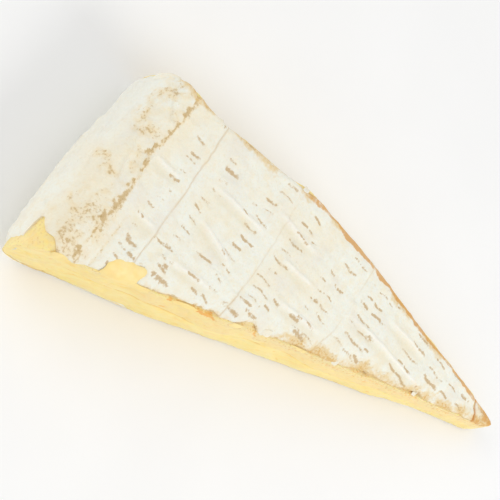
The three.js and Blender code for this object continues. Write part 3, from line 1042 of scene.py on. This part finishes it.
class Nodes:
    """A material's node tree, with the few kinds of node that the cheese needs."""

    def __init__(self, name):
        self.material = bpy.data.materials.new(name)
        self.material.use_nodes = True
        self.tree = self.material.node_tree
        self.shader = self.tree.nodes["Principled BSDF"]
        self.place = self.new("TexCoord").outputs["Object"]

    def new(self, kind):
        return self.tree.nodes.new("ShaderNode" + kind)

    def link(self, source, target):
        if isinstance(source, bpy.types.NodeSocket):
            self.tree.links.new(source, target)
        else:
            target.default_value = source

    def mask(self, name):
        node = self.new("Attribute")
        node.attribute_name = name
        return node.outputs["Fac"]

    def noise(self, size_mm, detail=3.0, stretch=(1.0, 1.0, 1.0)):
        mapping = self.new("Mapping")
        mapping.inputs["Scale"].default_value = stretch
        self.link(self.place, mapping.inputs["Vector"])
        node = self.new("TexNoise")
        self.link(mapping.outputs["Vector"], node.inputs["Vector"])
        node.inputs["Scale"].default_value = 1.0 / (size_mm * MM)
        node.inputs["Detail"].default_value = detail
        return node.outputs["Fac"]

    def math(self, operation, a, b=0.0):
        node = self.new("Math")
        node.operation = operation
        self.link(a, node.inputs[0])
        self.link(b, node.inputs[1])
        return node.outputs[0]

    def ramp(self, value, low, high, to_low=0.0, to_high=1.0):
        node = self.new("MapRange")
        node.interpolation_type = "SMOOTHSTEP"
        self.link(value, node.inputs["Value"])
        keys = ("From Min", "From Max", "To Min", "To Max")
        for key, number in zip(keys, (low, high, to_low, to_high)):
            node.inputs[key].default_value = number
        return node.outputs["Result"]

    def mix(self, share, first, second):
        node = self.new("Mix")
        node.data_type = "RGBA"
        self.link(share, node.inputs["Factor"])
        self.link(first, node.inputs["A"])
        self.link(second, node.inputs["B"])
        return node.outputs["Result"]

    def tint(self, color, mask, share, target):
        return self.mix(self.math("MULTIPLY", mask, share), color, srgb(*target))

    def bump(self, height, distance_mm, strength, under=None):
        node = self.new("Bump")
        node.inputs["Distance"].default_value = distance_mm * MM
        node.inputs["Strength"].default_value = strength
        self.link(height, node.inputs["Height"])
        if under is not None:
            self.link(under, node.inputs["Normal"])
        return node.outputs["Normal"]


def cloud(nodes, color, layer, within=None):
    """A colour over the high spots of noise, or over those within a mask."""
    size_mm, detail, low, high, share, target = layer
    spots = nodes.ramp(nodes.noise(size_mm, detail), low, high)
    if within is not None:
        spots = nodes.math("MULTIPLY", within, spots)
    return nodes.tint(color, spots, share, target)


def stain(nodes, color, layer):
    """A colour over a mask whose edge is eaten into by noise, and that mask."""
    name, size_mm, eaten, low, high, share, target = layer
    noise = nodes.math("SUBTRACT", nodes.noise(size_mm, 4.0), 0.5)
    ragged = nodes.math("ADD", nodes.mask(name), nodes.math("MULTIPLY", noise, eaten))
    mask = nodes.ramp(ragged, low, high)
    return nodes.tint(color, mask, share, target), mask


def rind_material():
    nodes = Nodes("bloomy_rind")
    inputs = nodes.shader.inputs
    cream = nodes.ramp(nodes.math("ADD", nodes.mask("warm"), nodes.noise(9.0)), 0.55, 1.35)
    color = nodes.mix(cream, srgb(241, 242, 231), srgb(243, 235, 212))
    for layer in RIND_CLOUDS:
        color = cloud(nodes, color, layer)
    for name, share, target in RIND_TINTS:
        color = nodes.tint(color, nodes.mask(name), share, target)
    for layer in RIND_STAINS:
        color = stain(nodes, color, layer)[0]
    color = nodes.tint(color, nodes.mask("crease"), 0.5, (200, 162, 102))
    color = nodes.mix(nodes.mask("crack"), color, srgb(206, 138, 60))
    rim = nodes.math("MULTIPLY", nodes.mask("edge"), nodes.ramp(nodes.noise(2.0), 0.4, 0.6))
    color = nodes.tint(color, rim, 0.25, (226, 190, 124))
    nodes.link(color, inputs["Base Color"])
    nodes.link(nodes.ramp(nodes.noise(1.2), 0.3, 0.7, 0.78, 0.95), inputs["Roughness"])
    felt = nodes.bump(nodes.noise(0.5, 4.0), 0.14, 0.6)
    nodes.link(nodes.bump(nodes.noise(1.8, 5.0), 0.6, 0.55, felt), inputs["Normal"])
    inputs["Specular IOR Level"].default_value = 0.25
    inputs["Sheen Weight"].default_value = 0.12
    inputs["Sheen Roughness"].default_value = 0.6
    inputs["Subsurface Weight"].default_value = 0.12
    inputs["Subsurface Radius"].default_value = (0.0006, 0.0005, 0.0004)
    inputs["Subsurface Scale"].default_value = 1.0
    return nodes.material


def paste_material(name, glow):
    nodes = Nodes(name)
    inputs = nodes.shader.inputs
    pale = nodes.ramp(nodes.noise(7.0), 0.3, 0.7)
    color = nodes.mix(pale, srgb(253, 227, 147), srgb(253, 231, 163))
    streak = nodes.ramp(nodes.noise(2.6, 4.0, (0.6, 1.0, 1.0)), 0.45, 0.75)
    color = nodes.tint(color, streak, 0.6, (252, 214, 126))
    for layer in PASTE_STAINS:
        color, mask = stain(nodes, color, layer)
        if layer[0] in PASTE_SPECKS:
            color = cloud(nodes, color, PASTE_SPECKS[layer[0]], mask)
    nodes.link(color, inputs["Base Color"])
    nodes.link(nodes.ramp(nodes.noise(2.5), 0.3, 0.7, 0.38, 0.6), inputs["Roughness"])
    fine = nodes.bump(nodes.noise(0.6, 3.0), 0.08, 0.35)
    wiped = nodes.noise(2.0, 4.0, (0.6, 1.0, 1.0))
    nodes.link(nodes.bump(wiped, 0.25, 0.4, fine), inputs["Normal"])
    inputs["Specular IOR Level"].default_value = 0.4
    inputs["Subsurface Weight"].default_value = glow
    inputs["Subsurface Radius"].default_value = (0.0030, 0.0022, 0.0009)
    inputs["Subsurface Scale"].default_value = 1.0
    return nodes.material


def floor_material():
    nodes = Nodes("pale_floor")
    inputs = nodes.shader.inputs
    tone = nodes.ramp(nodes.noise(60.0), 0.3, 0.7)
    nodes.link(nodes.mix(tone, (0.93, 0.93, 0.925, 1.0), (0.95, 0.95, 0.945, 1.0)),
               inputs["Base Color"])
    inputs["Roughness"].default_value = 0.9
    return nodes.material


# Stage

def add_floor():
    mesh = bpy.data.meshes.new("floor")
    corners = [(-1, -1), (1, -1), (1, 1), (-1, 1)]
    mesh.from_pydata([(x * FLOOR_HALF, y * FLOOR_HALF, 0.0) for x, y in corners], [], [(0, 1, 2, 3)])
    floor = add_object("floor", mesh)
    floor.data.materials.append(floor_material())


def add_light(name, direction, distance, size, power):
    light = bpy.data.lights.new(name, "AREA")
    light.shape = "DISK"
    light.size = size
    light.energy = power
    lamp = add_object(name, light)
    toward = Vector(direction).normalized()
    lamp.location = toward * distance
    lamp.rotation_mode = "QUATERNION"
    lamp.rotation_quaternion = toward.to_track_quat("Z", "Y")


def add_world():
    world = bpy.data.worlds.new("studio")
    world.use_nodes = True
    background = world.node_tree.nodes["Background"]
    background.inputs["Color"].default_value = (1.0, 1.0, 1.0, 1.0)
    background.inputs["Strength"].default_value = WORLD_STRENGTH
    bpy.context.scene.world = world
    bpy.context.scene.view_settings.view_transform = "Standard"


def add_camera(shift):
    camera = bpy.data.cameras.new("camera")
    camera.lens = CAMERA_LENS
    camera.sensor_width = CAMERA_SENSOR
    camera.clip_start = 0.01
    holder = add_object("camera", camera)
    azimuth, elevation = math.radians(CAMERA_AZIMUTH), math.radians(CAMERA_ELEVATION)
    back = Vector((math.cos(elevation) * math.cos(azimuth), math.cos(elevation) * math.sin(azimuth),
                   math.sin(elevation)))
    aim = (Vector(CAMERA_AIM) + Vector(shift)) * MM
    holder.location = aim + back * CAMERA_DISTANCE * MM
    holder.rotation_mode = "QUATERNION"
    level = back.to_track_quat("Z", "Y")
    holder.rotation_quaternion = level @ Quaternion((0.0, 0.0, 1.0), math.radians(CAMERA_ROLL))
    bpy.context.scene.camera = holder


SHIFT = frame_shift()
add_camera(SHIFT)
add_world()
add_floor()
for row in LIGHTS:
    add_light(*row)

rind = make_rind(SHIFT)
rind.data.materials.append(rind_material())
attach(rind, "root")
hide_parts(NODE)

paste = make_paste(SHIFT)
paste.data.materials.append(paste_material("soft_paste", 0.35))
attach(paste, "root")
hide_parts(NODE)

smears = make_patches("paste_smears", PASTE_SMEARS, 301, {"tan": 0.4}, SHIFT)
smears.data.materials.append(paste_material("smeared_paste", 0.0))
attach(smears, "root")
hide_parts(NODE)

flakes = make_patches("rind_flakes", RIND_FLAKES, 401, {"warm": 0.5, "rub": 0.1}, SHIFT)
flakes.data.materials.append(rind.data.materials[0])
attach(flakes, "root")
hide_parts(NODE)
